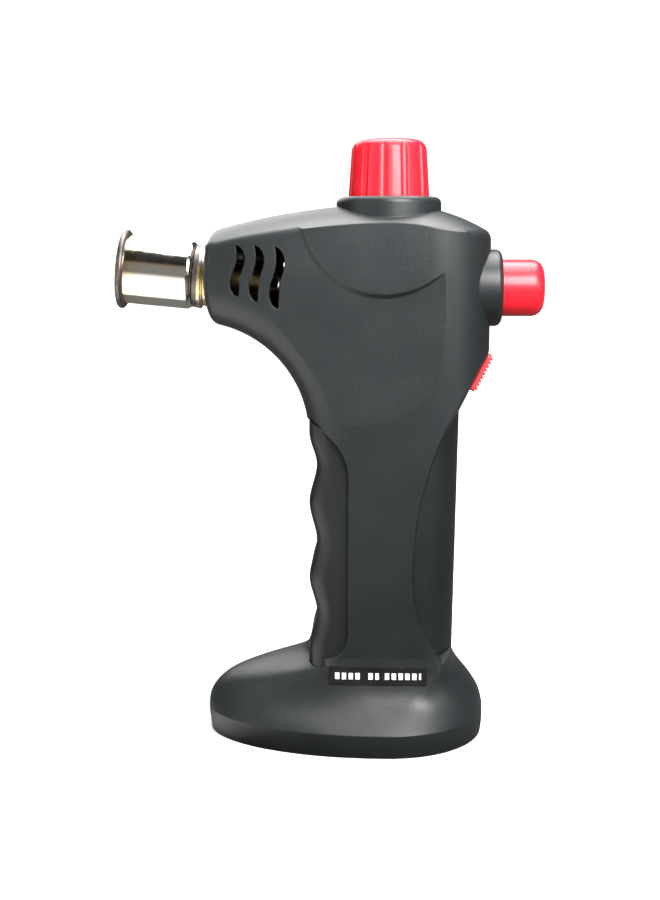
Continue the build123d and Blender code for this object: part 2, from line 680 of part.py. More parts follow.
REFILL_STEM_R = 1.0
REFILL_TOP_Z = 16.0
REFILL_TRAVEL = 2.0
with BuildPart() as refill_valve_body:
    with BuildSketch(Plane.XY.offset(0.8)):
        with Locations((REFILL_X, 0)):
            Circle(REFILL_BODY_R - 0.02)
    extrude(amount=REFILL_TOP_Z - 0.8)
    with BuildSketch(Plane.XY.offset(2.8)):
        with Locations((REFILL_X, 0)):
            Circle(5.0)
    extrude(amount=1.2)
    with BuildSketch(Plane.XY):
        with Locations((REFILL_X, 0)):
            Circle(REFILL_STEM_R + 0.06)
    extrude(amount=14, mode=Mode.SUBTRACT)
    with BuildSketch(Plane.XY.offset(7.0)):
        with Locations((REFILL_X, 0)):
            Circle(2.4)
    extrude(amount=7.5, mode=Mode.SUBTRACT)
save(refill_valve_body, "refill_valve_body")

with BuildPart() as refill_valve_stem:
    with BuildSketch(Plane.XY.offset(0.4)):
        with Locations((REFILL_X, 0)):
            Circle(REFILL_STEM_R)
    extrude(amount=8.6)
    with BuildSketch(Plane.XY.offset(8.0)):
        with Locations((REFILL_X, 0)):
            Circle(2.0)
    extrude(amount=1.0)
save(refill_valve_stem, "refill_valve_stem")

with BuildPart() as refill_valve_seal:
    with BuildSketch(Plane.XZ):
        with Locations((REFILL_X + REFILL_STEM_R + 0.55, 7.4)):
            Circle(0.4)
    revolve(axis=Axis((REFILL_X, 0, 0), (0, 0, 1)))
save(refill_valve_seal, "refill_valve_seal")

refill_valve_spring = coil_spring(Plane((REFILL_X, 0, 9.0)), 1.5, 0.25, 5.5, 6)
save(refill_valve_spring, "refill_valve_spring")

# ========================================= gas valve ==============================================

VALVE_R = 5.0
VALVE_TOP_Z = 111.0
NEEDLE_R = 1.5
NEEDLE_FOOT_Z = 101.0
NEEDLE_TOP_Z = 119.0
GAS_OUTLET_Z = 108.0
STEM_Z = 97.5
STEM_R = 1.2
with BuildPart() as gas_valve_body:
    with BuildSketch(Plane.XY.offset(VALVE_FOOT_Z)):
        with Locations((KNOB_X, 0)):
            Circle(VALVE_R)
    extrude(amount=VALVE_TOP_Z - VALVE_FOOT_Z)
    with BuildSketch(Plane.XY.offset(103.5)):
        with Locations((KNOB_X, 0)):
            RegularPolygon(VALVE_R + 0.6, 6)
    extrude(amount=3.0)
    with BuildSketch(Plane.YZ.offset(KNOB_X - VALVE_R - 3)):
        with Locations((0, GAS_OUTLET_Z)):
            Circle(1.3)
    extrude(amount=4)
    with BuildSketch(Plane.XY.offset(NEEDLE_FOOT_Z - 0.6)):
        with Locations((KNOB_X, 0)):
            Circle(NEEDLE_R + 0.06)
    extrude(amount=20, mode=Mode.SUBTRACT)
    with BuildSketch(Plane.XY.offset(VALVE_TOP_Z - 1.6)):
        with Locations((KNOB_X, 0)):
            Circle(2.6)
    extrude(amount=3, mode=Mode.SUBTRACT)
    with BuildSketch(Plane.YZ.offset(KNOB_X + 0.5)):
        with Locations((0, STEM_Z)):
            Circle(STEM_R + 0.06)
    extrude(amount=8, mode=Mode.SUBTRACT)
save(gas_valve_body, "gas_valve_body")

with BuildPart() as needle_seal:
    with BuildSketch(Plane.XZ):
        with Locations((KNOB_X + NEEDLE_R + 0.56, VALVE_TOP_Z - 0.9)):
            Circle(0.45)
    revolve(axis=Axis((KNOB_X, 0, 0), (0, 0, 1)))
save(needle_seal, "needle_seal")

with BuildPart() as flow_needle:
    with BuildSketch(Plane.XY.offset(NEEDLE_FOOT_Z + 2)):
        with Locations((KNOB_X, 0)):
            Circle(NEEDLE_R)
    extrude(amount=NEEDLE_TOP_Z - NEEDLE_FOOT_Z - 2)
    with Locations((KNOB_X, 0, NEEDLE_FOOT_Z + 1)):
        Cone(0.3, NEEDLE_R, 2.0)
save(flow_needle, "flow_needle")

with BuildPart() as valve_stem:
    with BuildSketch(Plane.YZ.offset(KNOB_X + 2.2)):
        with Locations((0, STEM_Z)):
            Circle(STEM_R)
    extrude(amount=6.2)
    with BuildSketch(Plane.YZ.offset(18.3)):
        with Locations((0, STEM_Z)):
            Circle(2.0)
    extrude(amount=1.0)
save(valve_stem, "valve_stem")

valve_spring = coil_spring(Plane((KNOB_X + VALVE_R, 0, STEM_Z), z_dir=(1, 0, 0)), 1.6, 0.2, 2.4, 4)
save(valve_spring, "valve_spring")

# ==================================== knob and its spindle ========================================

SPINDLE_TOP_Z = 150.0
with BuildPart() as knob_spindle:
    with BuildSketch(Plane.XY.offset(VALVE_TOP_Z + 1.5)):
        with Locations((KNOB_X, 0)):
            Circle(2.5)
    extrude(amount=10)
    with BuildSketch(Plane.XY.offset(121.5)):
        with Locations((KNOB_X, 0)):
            Circle(SPINDLE_R)
    extrude(amount=SPINDLE_TOP_Z - 121.5)
    with BuildSketch(Plane.XY.offset(VALVE_TOP_Z)):
        with Locations((KNOB_X, 0)):
            Circle(NEEDLE_R + 0.06)
    extrude(amount=NEEDLE_TOP_Z + 1.6 - VALVE_TOP_Z, mode=Mode.SUBTRACT)
save(knob_spindle, "knob_spindle")

KNOB_SHOULDER_Z = 151.6
KNOB_SKIRT_R = 8.2             # inside of the hollow skirt
KNOB_SKIRT_DEPTH = 12.5
KNOB_HUB_R = 4.6
FLUTE_R = 1.35
FLUTE_OUT = 0.85               # axis of a flute lies this far outside the knob's side
FLUTE_TURN = 22.3 - 90
knob_slope = degrees(atan((KNOB_FOOT_R - KNOB_TOP_R) / (KNOB_TOP_Z - KNOB_FOOT_Z)))

DOME_H = 0.45
shoulder_r = KNOB_TOP_R + 0.2
rim_r = KNOB_TOP_R - 2.4
dome_r = (rim_r**2 + DOME_H**2) / (2 * DOME_H)
dome_angle = degrees(asin(rim_r / dome_r))

with BuildPart() as gas_knob:
    with BuildSketch(Plane.XZ):
        with BuildLine():
            Polyline((KNOB_X, KNOB_TOP_Z), (KNOB_X, KNOB_FOOT_Z), (KNOB_X + KNOB_FOOT_R, KNOB_FOOT_Z),
                     (KNOB_X + shoulder_r, KNOB_SHOULDER_Z))
            ThreePointArc((KNOB_X + shoulder_r, KNOB_SHOULDER_Z),
                          (KNOB_X + KNOB_TOP_R - 0.6, KNOB_TOP_Z - 1.3),
                          (KNOB_X + rim_r, KNOB_TOP_Z - DOME_H))
            CenterArc((KNOB_X, KNOB_TOP_Z - dome_r), dome_r, 90 - dome_angle, dome_angle)
        make_face()
    revolve(axis=Axis((KNOB_X, 0, 0), (0, 0, 1)))
    with Locations((KNOB_X, 0, (KNOB_FOOT_Z + KNOB_TOP_Z) / 2)):
        with PolarLocations((KNOB_FOOT_R + KNOB_TOP_R) / 2 + FLUTE_OUT, KNOB_FLUTES, start_angle=FLUTE_TURN):
            Cylinder(FLUTE_R, 40, rotation=(0, -knob_slope, 0), mode=Mode.SUBTRACT)
    with BuildSketch(Plane.XY.offset(KNOB_FOOT_Z)):
        with Locations((KNOB_X, 0)):
            Circle(KNOB_SKIRT_R)
            Circle(KNOB_HUB_R, mode=Mode.SUBTRACT)
    extrude(amount=KNOB_SKIRT_DEPTH, mode=Mode.SUBTRACT)
    with BuildSketch(Plane.XY.offset(KNOB_FOOT_Z)):
        with Locations((KNOB_X, 0)):
            Circle(SPINDLE_R)
    extrude(amount=SPINDLE_TOP_Z - KNOB_FOOT_Z, mode=Mode.SUBTRACT)
save(gas_knob, "gas_knob")

# =================================== burner, along its own axis ===================================

TUBE_BORE_R = 3.8
TUBE_REAR = -22.0
TUBE_FRONT = 6.0
INSULATOR_OFFSET = -6.1        # from the burner axis; minus is the upper side
INSULATOR_R = 1.1

with BuildPart() as burner_tube:
    with BuildSketch(burner_plane.offset(TUBE_REAR)):
        Circle(TUBE_R)
        Circle(TUBE_BORE_R, mode=Mode.SUBTRACT)
    extrude(amount=TUBE_FRONT - TUBE_REAR)
    for across in (burner_plane.x_dir, burner_plane.y_dir):
        with BuildSketch(Plane(burner_plane.offset(-17.5).origin, x_dir=burner_plane.z_dir, z_dir=across)):
            Circle(1.5)
        extrude(amount=8, both=True, mode=Mode.SUBTRACT)
save(burner_tube, "burner_tube")

with BuildPart() as injector:
    with BuildSketch(burner_plane.offset(-25.0)):
        RegularPolygon(5.0, 6)
    extrude(amount=3.0)
    with BuildSketch(burner_plane.offset(-22.0)):
        Circle(TUBE_BORE_R - 0.03)
    extrude(amount=2.2)
    with BuildSketch(burner_plane.offset(-28.0)):
        Circle(1.3)
    extrude(amount=3.0)
    with BuildSketch(burner_plane.offset(-29.0)):
        Circle(0.35)
    extrude(amount=12, mode=Mode.SUBTRACT)
save(injector, "injector")

# nut that the mouth of the head grips, with a flange outside and grooves
with BuildPart() as nozzle_nut:
    with BuildSketch(burner_plane.offset(-4.0)):
        Circle(NUT_R - 0.02)
    extrude(amount=5.0)
    with BuildSketch(burner_plane.offset(0.9)):
        Circle(8.3)
    extrude(amount=0.9)
    with BuildSketch(burner_plane.offset(0.1)):
        Circle(NUT_R + 1)
        Circle(NUT_R - 0.45, mode=Mode.SUBTRACT)
    extrude(amount=0.4, mode=Mode.SUBTRACT)
    with BuildSketch(burner_plane.offset(-5.0)):
        Circle(TUBE_R + 0.02)
        with Locations((0, INSULATOR_OFFSET)):
            Circle(INSULATOR_R + 0.02)
    extrude(amount=8, mode=Mode.SUBTRACT)
save(nozzle_nut, "nozzle_nut")

with BuildPart() as nozzle_washer:
    with BuildSketch(burner_plane.offset(1.8)):
        Circle(8.1)
        Circle(TUBE_R + 0.02, mode=Mode.SUBTRACT)
        with Locations((0, INSULATOR_OFFSET)):
            Circle(INSULATOR_R + 0.02, mode=Mode.SUBTRACT)
    extrude(amount=CUP_REAR - 1.8)
save(nozzle_washer, "nozzle_washer")

CUP_WALL = 0.8
with BuildPart() as nozzle_cup:
    with BuildSketch(burner_plane.offset(CUP_REAR)):
        Circle(CUP_R)
    extrude(amount=CUP_FRONT - 0.2 - CUP_REAR)
    fillet(nozzle_cup.faces().sort_by(Axis((0, 0, 0), burner_plane.z_dir))[0].edges(), radius=1.7)
    with BuildSketch(burner_plane.offset(CUP_REAR + CUP_WALL)):
        Circle(CUP_R - CUP_WALL)
    extrude(amount=30, mode=Mode.SUBTRACT)
    with BuildSketch(burner_plane):
        Circle(TUBE_R + 0.02)
        with Locations((0, INSULATOR_OFFSET)):
            Circle(INSULATOR_R + 0.02)
    extrude(amount=8, mode=Mode.SUBTRACT)
save(nozzle_cup, "nozzle_cup")

# rolled rim at the mouth of the cup
with BuildPart() as nozzle_rim:
    with BuildSketch(burner_plane.offset(CUP_FRONT - 1.7)):
        Circle(CUP_R + 1.45)
        Circle(CUP_R, mode=Mode.SUBTRACT)
    extrude(amount=1.7)
    fillet(nozzle_rim.edges().filter_by(GeomType.CIRCLE).filter_by(
        lambda e: e.radius > CUP_R + 1), radius=0.8)
save(nozzle_rim, "nozzle_rim")

HOLDER_REAR = 4.4
with BuildPart() as flame_holder:
    with BuildSketch(burner_plane.offset(HOLDER_REAR)):
        Circle(4.95)
        Circle(TUBE_R + 0.02, mode=Mode.SUBTRACT)
    extrude(amount=TUBE_FRONT - HOLDER_REAR)
    with BuildSketch(burner_plane.offset(TUBE_FRONT)):
        Circle(5.2)
        Circle(0.55, mode=Mode.SUBTRACT)
        with PolarLocations(1.7, 6):
            Circle(0.45, mode=Mode.SUBTRACT)
        with PolarLocations(3.3, 12):
            Circle(0.45, mode=Mode.SUBTRACT)
    extrude(amount=2.4)
save(flame_holder, "flame_holder")

with BuildPart() as electrode_insulator:
    with BuildSketch(burner_plane.offset(-9.0)):
        with Locations((0, INSULATOR_OFFSET)):
            Circle(INSULATOR_R)
            Circle(0.42, mode=Mode.SUBTRACT)
    extrude(amount=15.0)
save(electrode_insulator, "electrode_insulator")

with BuildPart() as electrode:
    with BuildLine():
        wire_path = FilletPolyline(
            burner_plane.from_local_coords((0, INSULATOR_OFFSET, -8.5)),
            burner_plane.from_local_coords((0, INSULATOR_OFFSET, 8.6)),
            burner_plane.from_local_coords((0, -2.0, 11.6)),
            radius=1.4)
    with BuildSketch(Plane(origin=wire_path @ 0, z_dir=wire_path % 0)):
        Circle(0.4)
    sweep()
save(electrode, "electrode")

# ================================= tube and lead inside the head ==================================

tube_start = (KNOB_X - VALVE_R - 3, 0, GAS_OUTLET_Z)
tube_end = burner_plane.from_local_coords((0, 0, -28.0))
with BuildPart() as gas_tube:
    with BuildLine():
        tube_path = FilletPolyline(
            tube_start, (-2.2, 0, GAS_OUTLET_Z), burner_plane.from_local_coords((0, 0, -32.5)), tube_end,
            radius=3.0)
    with BuildSketch(Plane(origin=tube_path @ 0, z_dir=tube_path % 0)):
        Circle(1.3)
        Circle(0.6, mode=Mode.SUBTRACT)
    sweep()
save(gas_tube, "gas_tube")

PIEZO_FRONT_X = 15.0
PIEZO_REAR_X = 27.0
lead_end = burner_plane.from_local_coords((0, INSULATOR_OFFSET, -9.0))
with BuildPart() as igniter_lead:
    with BuildLine():
        lead_path = FilletPolyline(
            (PIEZO_FRONT_X, 3.0, 119.0), (12.6, 3.0, 119.0), (7.5, 7.4, 119.6), (-1.5, 7.6, 120.8),
            (-12.0, 6.0, 124.2), burner_plane.from_local_coords((0, INSULATOR_OFFSET, -15.0)), lead_end,
            radius=[2.4, 3.5, 9.0, 8.0, 4.0])
    with BuildSketch(Plane(origin=lead_path @ 0, z_dir=lead_path % 0)):
        Circle(0.8)
    sweep(is_frenet=False)
save(igniter_lead, "igniter_lead")
print(f"gas tube {tube_path.length:.1f} mm long, igniter lead {lead_path.length:.1f} mm long")

# ==================================== igniter, button, lever ======================================

PLUNGER_R = 2.8
BUTTON_BORE_R = 5.8
BUTTON_BORE_END_X = 47.5
FLANGE_T = 1.4
BUTTON_REAR_X = BUTTON_STOP_X - 0.1 - FLANGE_T
with BuildPart() as piezo_body:
    with BuildSketch(Plane.YZ.offset(PIEZO_FRONT_X)):
        with Locations((0, BUTTON_Z)):
            RectangleRounded(11.0, 9.0, 1.0)
    extrude(amount=PIEZO_REAR_X - PIEZO_FRONT_X)
    with BuildSketch(Plane.YZ.offset(PIEZO_FRONT_X + 1.2)):
        with Locations((0, BUTTON_Z)):
            Circle(PLUNGER_R + 0.08)
    extrude(amount=20, mode=Mode.SUBTRACT)
save(piezo_body, "piezo_body")

with BuildPart() as piezo_plunger:
    with BuildSketch(Plane.YZ.offset(PIEZO_FRONT_X + 1.6 + BUTTON_TRAVEL)):
        with Locations((0, BUTTON_Z)):
            Circle(PLUNGER_R)
    extrude(amount=BUTTON_BORE_END_X - PIEZO_FRONT_X - 1.6 - BUTTON_TRAVEL)
save(piezo_plunger, "piezo_plunger")

button_spring = coil_spring(Plane((PIEZO_REAR_X, 0, BUTTON_Z), z_dir=(1, 0, 0)), 4.2, 0.4,
                            BUTTON_BORE_END_X - PIEZO_REAR_X, 8)
save(button_spring, "button_spring")

with BuildPart() as ignition_button:
    with BuildSketch(Plane.YZ.offset(BUTTON_REAR_X)):
        with Locations((0, BUTTON_Z)):
            Circle(BUTTON_R)
    extrude(amount=BUTTON_END_X - BUTTON_REAR_X)
    fillet(ignition_button.faces().sort_by(Axis.X)[-1].edges(), radius=3.2)
    with BuildSketch(Plane.YZ.offset(BUTTON_REAR_X)):
        with Locations((0, BUTTON_Z)):
            Circle(BUTTON_FLANGE_R)
    extrude(amount=FLANGE_T)
    with BuildSketch(Plane.YZ.offset(BUTTON_REAR_X)):
        with Locations((0, BUTTON_Z)):
            Circle(BUTTON_BORE_R)
    extrude(amount=BUTTON_BORE_END_X - BUTTON_REAR_X, mode=Mode.SUBTRACT)
save(ignition_button, "ignition_button")

# bent lever: the button's flange pushes its tip, its nose pushes the outlet stem
LEVER_T = 3.0
with BuildPart() as valve_lever:
    with BuildSketch(Plane.XZ):
        with BuildLine():
            Polyline((22.8, 93.0), (19.6, 96.4), (19.6, 98.4), (22.6, 98.8), (29.6, 109.4), (30.2, 110.4),
                     (32.1, 110.4), (32.1, 108.9), (26.6, 95.6), (26.3, 92.6), (24.5, 91.6), (22.8, 93.0))
        make_face()
        with Locations((PIVOT_X, PIVOT_Z)):
            Circle(PIN_R + 0.06, mode=Mode.SUBTRACT)
    extrude(amount=LEVER_T / 2, both=True)
save(valve_lever, "valve_lever")

with BuildPart() as lever_pin:
    with BuildSketch(Plane.XZ):
        with Locations((PIVOT_X, PIVOT_Z)):
            Circle(PIN_R)
    extrude(amount=PIN_HALF_LENGTH, both=True)
save(lever_pin, "lever_pin")

# ======================================== lock slider =============================================

SLIDER_LIFT = 0.15
SLIDER_T = 1.1
RIB_H = 0.55
RIBS = 9
with BuildPart() as lock_slider:
    with BuildSketch(slope_plane.offset(SLIDER_LIFT)):
        RectangleRounded(SLIDER_LENGTH, SLIDER_WIDTH, 0.8)
    extrude(amount=SLIDER_T)
    pitch = (SLIDER_LENGTH - 0.9) / RIBS
    for index in range(RIBS):
        rib_x = (index - (RIBS - 1) / 2) * pitch
        with BuildSketch(slope_plane.offset(SLIDER_LIFT + SLIDER_T)):
            with Locations((rib_x, 0)):
                Rectangle(0.6 * pitch, SLIDER_WIDTH - 1.0)
        extrude(amount=RIB_H)
    with BuildSketch(slope_plane.offset(SLIDER_LIFT)):
        with Locations((-SLOT_LENGTH / 2 + 2.2, 0)):
            Rectangle(4.0, TAB_WIDTH)
    extrude(amount=-SLIDER_LIFT - HEAD_WALL - 1.2)
save(lock_slider, "lock_slider")

with BuildPart() as slider_clip:
    with BuildSketch(slope_plane.offset(-HEAD_WALL - 0.3)):
        with Locations((-SLOT_LENGTH / 2 + 2.2, 0)):
            Rectangle(6.0, 8.0)
            Rectangle(4.0, TAB_WIDTH, mode=Mode.SUBTRACT)
    extrude(amount=-0.7)
save(slider_clip, "slider_clip")
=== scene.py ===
import json
from math import cos, pi, radians, sin

import bmesh
import bpy
from mathutils import Euler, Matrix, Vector


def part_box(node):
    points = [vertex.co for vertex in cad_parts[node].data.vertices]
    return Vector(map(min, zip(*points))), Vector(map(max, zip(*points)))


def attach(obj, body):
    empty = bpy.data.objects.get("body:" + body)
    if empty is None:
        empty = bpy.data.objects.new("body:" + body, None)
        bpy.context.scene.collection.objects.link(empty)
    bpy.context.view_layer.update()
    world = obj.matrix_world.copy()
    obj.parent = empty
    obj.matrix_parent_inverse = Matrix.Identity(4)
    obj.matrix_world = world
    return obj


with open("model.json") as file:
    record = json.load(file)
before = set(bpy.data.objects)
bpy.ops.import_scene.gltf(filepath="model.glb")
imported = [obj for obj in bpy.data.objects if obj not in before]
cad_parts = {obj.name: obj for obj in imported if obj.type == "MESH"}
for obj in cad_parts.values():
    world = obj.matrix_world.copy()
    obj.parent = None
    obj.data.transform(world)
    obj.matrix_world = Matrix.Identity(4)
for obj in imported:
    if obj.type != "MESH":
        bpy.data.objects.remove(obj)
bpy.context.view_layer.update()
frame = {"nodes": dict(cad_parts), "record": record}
nodes = frame["nodes"]

# ==================================== places taken from the frame =================================

BURNER_TILT = radians(5.4)               # the flame leaves slightly upwards
BURNER_AXIS = Vector((-cos(BURNER_TILT), 0, sin(BURNER_TILT)))
BURNER_ORIGIN = Vector((-0.036, 0, 0.120))
MM = 1000.0                              # millimetres in a metre
label_low, label_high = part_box("label_sticker")

# ========================================= shader building ========================================


class Shader:
    """A material with one Principled BSDF, and the nodes that feed it."""

    def __init__(self, name):
        self.material = bpy.data.materials.new(name)
        self.material.use_nodes = True
        self.tree = self.material.node_tree
        self.bsdf = self.tree.nodes["Principled BSDF"]
        self.place = self.add("ShaderNodeTexCoord").outputs["Object"]

    def add(self, kind, inputs=None, **settings):
        node = self.tree.nodes.new(kind)
        for key, value in settings.items():
            setattr(node, key, value)
        for key, value in (inputs or {}).items():
            if isinstance(value, bpy.types.NodeSocket):
                self.tree.links.new(value, node.inputs[key])
            else:
                node.inputs[key].default_value = value
        return node

    def surface(self, **inputs):
        """Sets the BSDF's sockets; a socket is linked, a number or colour is set."""
        for key, value in inputs.items():
            socket = self.bsdf.inputs[key.replace("_", " ")]
            if isinstance(value, bpy.types.NodeSocket):
                self.tree.links.new(value, socket)
            else:
                socket.default_value = value

    def noise(self, scale, detail=3.0, roughness=0.5, place=None):
        inputs = {"Vector": place or self.place, "Scale": scale, "Detail": detail, "Roughness": roughness}
        return self.add("ShaderNodeTexNoise", inputs).outputs["Fac"]

    def stretched(self, scale):
        return self.add("ShaderNodeMapping", {"Vector": self.place, "Scale": scale}).outputs["Vector"]

    def ramp(self, factor, *stops):
        """A colour for each (position, colour) along factor."""
        node = self.add("ShaderNodeValToRGB", {"Fac": factor})
        elements = node.color_ramp.elements
        while len(elements) < len(stops):
            elements.new(0.5)
        for element, (position, colour) in zip(elements, stops):
            element.position = position
            element.color = (*colour, 1.0)
        return node.outputs["Color"]

    def spread(self, factor, low, high, from_low=0.3, from_high=0.7):
        """A number between low and high as factor goes over its usual range."""
        inputs = {"Value": factor, "From Min": from_low, "From Max": from_high,
                  "To Min": low, "To Max": high}
        return self.add("ShaderNodeMapRange", inputs).outputs["Result"]

    def math(self, operation, first, second=0.0):
        node = self.add("ShaderNodeMath", operation=operation)
        for socket, value in zip(node.inputs, (first, second)):
            if isinstance(value, bpy.types.NodeSocket):
                self.tree.links.new(value, socket)
            else:
                socket.default_value = value
        return node.outputs["Value"]

    def axis(self, index):
        return self.add("ShaderNodeSeparateXYZ", {"Vector": self.place}).outputs[index]

    def along(self, origin, direction):
        """Distance in metres from origin along direction."""
        offset = self.add("ShaderNodeVectorMath", {0: self.place, 1: origin}, operation="SUBTRACT")
        return self.add("ShaderNodeVectorMath", {0: offset.outputs["Vector"], 1: direction},
                        operation="DOT_PRODUCT").outputs["Value"]

    def blend(self, factor, first, second):
        """The first colour where factor is 0, the second where it is 1."""
        node = self.add("ShaderNodeMix", data_type="RGBA")
        for index, value in ((0, factor), (6, first), (7, second)):
            if isinstance(value, bpy.types.NodeSocket):
                self.tree.links.new(value, node.inputs[index])
            else:
                node.inputs[index].default_value = value if index == 0 else (*value, 1.0)
        return node.outputs[2]

    def bump(self, *layers, edge=0.0):
        """Bump layers (height, depth in metres) over each other, on edges rounded by a radius."""
        normal = None
        if edge:
            normal = self.add("ShaderNodeBevel", {"Radius": edge}, samples=6).outputs["Normal"]
        for height, depth in layers:
            inputs = {"Height": height, "Distance": depth, "Strength": 1.0}
            if normal is not None:
                inputs["Normal"] = normal
            normal = self.add("ShaderNodeBump", inputs).outputs["Normal"]
        self.tree.links.new(normal, self.bsdf.inputs["Normal"])


# ============================================ materials ===========================================


def moulded_black(name, dark, light, low_gloss, high_gloss, edge):
    """Black moulded plastic: fine spark-eroded texture, faint flow clouds and rubbed places."""
    shader = Shader(name)
    clouds = shader.noise(38.0, 4.0, 0.55)
    speckle = shader.noise(2600.0, 2.0, 0.6)
    colour = shader.ramp(clouds, (0.32, dark), (0.72, light))
    shader.surface(
        Base_Color=shader.blend(shader.spread(speckle, 0.0, 0.45), colour, light),
        Roughness=shader.spread(shader.noise(110.0, 3.0, 0.6), low_gloss, high_gloss),
        Specular_IOR_Level=0.38,
    )
    shader.bump((shader.noise(1500.0, 3.0, 0.6), 0.000040), (shader.noise(55.0, 2.0), 0.00005), edge=edge)
    return shader.material


def body_black():
    return moulded_black("body_black", (0.0085, 0.0103, 0.0112), (0.0150, 0.0176, 0.0188), 0.36, 0.45, 0.0004)


def tank_black():
    return moulded_black("tank_black", (0.0060, 0.0073, 0.0080), (0.0105, 0.0124, 0.0134), 0.38, 0.47, 0.0004)


def inner_black():
    return moulded_black("inner_black", (0.012, 0.012, 0.013), (0.020, 0.020, 0.021), 0.55, 0.68, 0.0)


def seal_rubber():
    return moulded_black("seal_rubber", (0.010, 0.010, 0.010), (0.018, 0.018, 0.018), 0.6, 0.75, 0.0)


def red_plastic(name, deep, bright, low_gloss, high_gloss, coat):
    """Red moulded plastic with slow colour clouds, faint flow lines and fine handling scratches."""
    shader = Shader(name)
    clouds = shader.noise(90.0, 3.0, 0.5)
    flow = shader.noise(260.0, 2.0, 0.5, place=shader.stretched((1.0, 1.0, 0.15)))
    shader.surface(
        Base_Color=shader.blend(shader.spread(flow, 0.0, 0.5),
                                shader.ramp(clouds, (0.3, deep), (0.7, bright)), bright),
        Roughness=shader.spread(shader.noise(700.0, 3.0, 0.7), low_gloss, high_gloss),
        Specular_IOR_Level=0.30,
        Subsurface_Weight=0.06,
        Subsurface_Radius=(0.0012, 0.0002, 0.0002),
        Subsurface_Scale=0.6,
        Coat_Weight=coat,
        Coat_Roughness=0.08,
    )
    shader.bump((shader.noise(260.0, 2.0, 0.5), 0.000006),
                (shader.noise(3000.0, 2.0, 0.5), 0.0000012), edge=0.00035)
    return shader.material


def red_gloss():
    return red_plastic("red_gloss", (0.66, 0.008, 0.018), (0.80, 0.016, 0.030), 0.28, 0.40, 0.12)


def red_slider():
    return red_plastic("red_slider", (0.58, 0.030, 0.036), (0.72, 0.055, 0.062), 0.36, 0.48, 0.1)


def chrome():
    """Drawn and plated cup: faint turning lines round it, straw and bronze tint towards its mouth."""
    shader = Shader("chrome")
    s = shader.along(BURNER_ORIGIN, BURNER_AXIS)
    tint = shader.math("ADD", s, shader.math("MULTIPLY", shader.noise(130.0, 2.0), 0.0030))
    travel = shader.spread(tint, 0.0, 1.0, 0.004, 0.0245)
    plate = shader.ramp(travel, (0.0, (0.50, 0.46, 0.42)), (0.10, (0.82, 0.79, 0.72)),
                        (0.62, (0.84, 0.80, 0.72)), (0.80, (0.80, 0.70, 0.50)),
                        (0.92, (0.55, 0.40, 0.28)), (1.0, (0.22, 0.18, 0.20)))
    lengthwise = shader.add("ShaderNodeCombineXYZ", {"X": s}).outputs["Vector"]
    lines = shader.noise(9000.0, 1.0, 0.5, place=lengthwise)
    shader.surface(
        Base_Color=plate,
        Metallic=1.0,
        Roughness=shader.spread(shader.noise(500.0, 3.0, 0.6), 0.07, 0.15),
    )
    shader.bump((lines, 0.0000012), (shader.noise(160.0, 2.0), 0.000012))
    return shader.material


def metal(name, dark, light, low_rough, high_rough):
    """A turned or pressed metal: stained clouds, fine grain."""
    shader = Shader(name)
    shader.surface(
        Base_Color=shader.ramp(shader.noise(150.0, 4.0, 0.6), (0.34, dark), (0.68, light)),
        Metallic=1.0,
        Roughness=shader.spread(shader.noise(540.0, 3.0, 0.6), low_rough, high_rough),
    )
    shader.bump((shader.noise(1800.0, 2.0, 0.5), 0.00001), edge=0.0002)
    return shader.material


def heat_steel():
    """Steel after many flames: grey oxide with brown and blue patches."""
    shader = Shader("heat_steel")
    patches = shader.noise(210.0, 4.0, 0.6)
    colour = shader.ramp(patches, (0.30, (0.055, 0.050, 0.050)), (0.48, (0.115, 0.105, 0.100)),
                         (0.60, (0.17, 0.125, 0.095)), (0.74, (0.10, 0.11, 0.15)))
    shader.surface(
        Base_Color=colour,
        Metallic=0.85,
        Roughness=shader.spread(shader.noise(900.0, 3.0, 0.6), 0.32, 0.52),
    )
    shader.bump((shader.noise(1500.0, 3.0, 0.6), 0.00002), edge=0.0002)
    return shader.material


def nozzle_brass():
    """Brass nut with a painted reflection: lilac grey plate colour towards the top and brass lower down, set
    by height with random patches, and speckles.
    """
    shader = Shader("nozzle_brass")
    # painted reflection: the nut's colour goes from brass below to lilac grey plate above by height (Z),
    # broken up by random patches
    patches = shader.math("ADD", shader.noise(120.0, 3.0, 0.6),
                          shader.math("MULTIPLY", shader.axis("Z"), 6.0))
    reflection_band_and_patches = shader.spread(patches, 0.0, 1.0, 1.18, 1.28)
    brass_colour = shader.ramp(shader.noise(600.0, 3.0, 0.7),
                               (0.3, (0.55, 0.38, 0.14)), (0.7, (0.80, 0.62, 0.30)))
    plate_and_reflection_colour = shader.ramp(shader.noise(1400.0, 2.0, 0.7),
                               (0.35, (0.30, 0.31, 0.38)), (0.65, (0.62, 0.60, 0.66)))
    shader.surface(
        Base_Color=shader.blend(reflection_band_and_patches, brass_colour, plate_and_reflection_colour),
        Metallic=1.0,
        Roughness=shader.spread(shader.noise(800.0, 3.0, 0.6), 0.22, 0.40),
    )
    shader.bump((shader.noise(1600.0, 2.0, 0.6), 0.00001), edge=0.0002)
    return shader.material


# darker brass for the burner tube: partly heat tarnish, partly painted shade, so that the tube seen through
# the vents reads dark
def tarnish_and_shade_brass():
    return metal("tarnish_and_shade_brass", (0.30, 0.19, 0.07), (0.62, 0.46, 0.20), 0.26, 0.42)


def brass():
    return metal("brass", (0.52, 0.35, 0.12), (0.78, 0.60, 0.28), 0.20, 0.36)


def copper():
    return metal("copper", (0.52, 0.24, 0.12), (0.80, 0.44, 0.27), 0.22, 0.38)


def steel():
    return metal("steel", (0.42, 0.42, 0.43), (0.60, 0.60, 0.61), 0.22, 0.36)


def zinc_steel():
    return metal("zinc_steel", (0.50, 0.51, 0.55), (0.70, 0.71, 0.74), 0.28, 0.42)


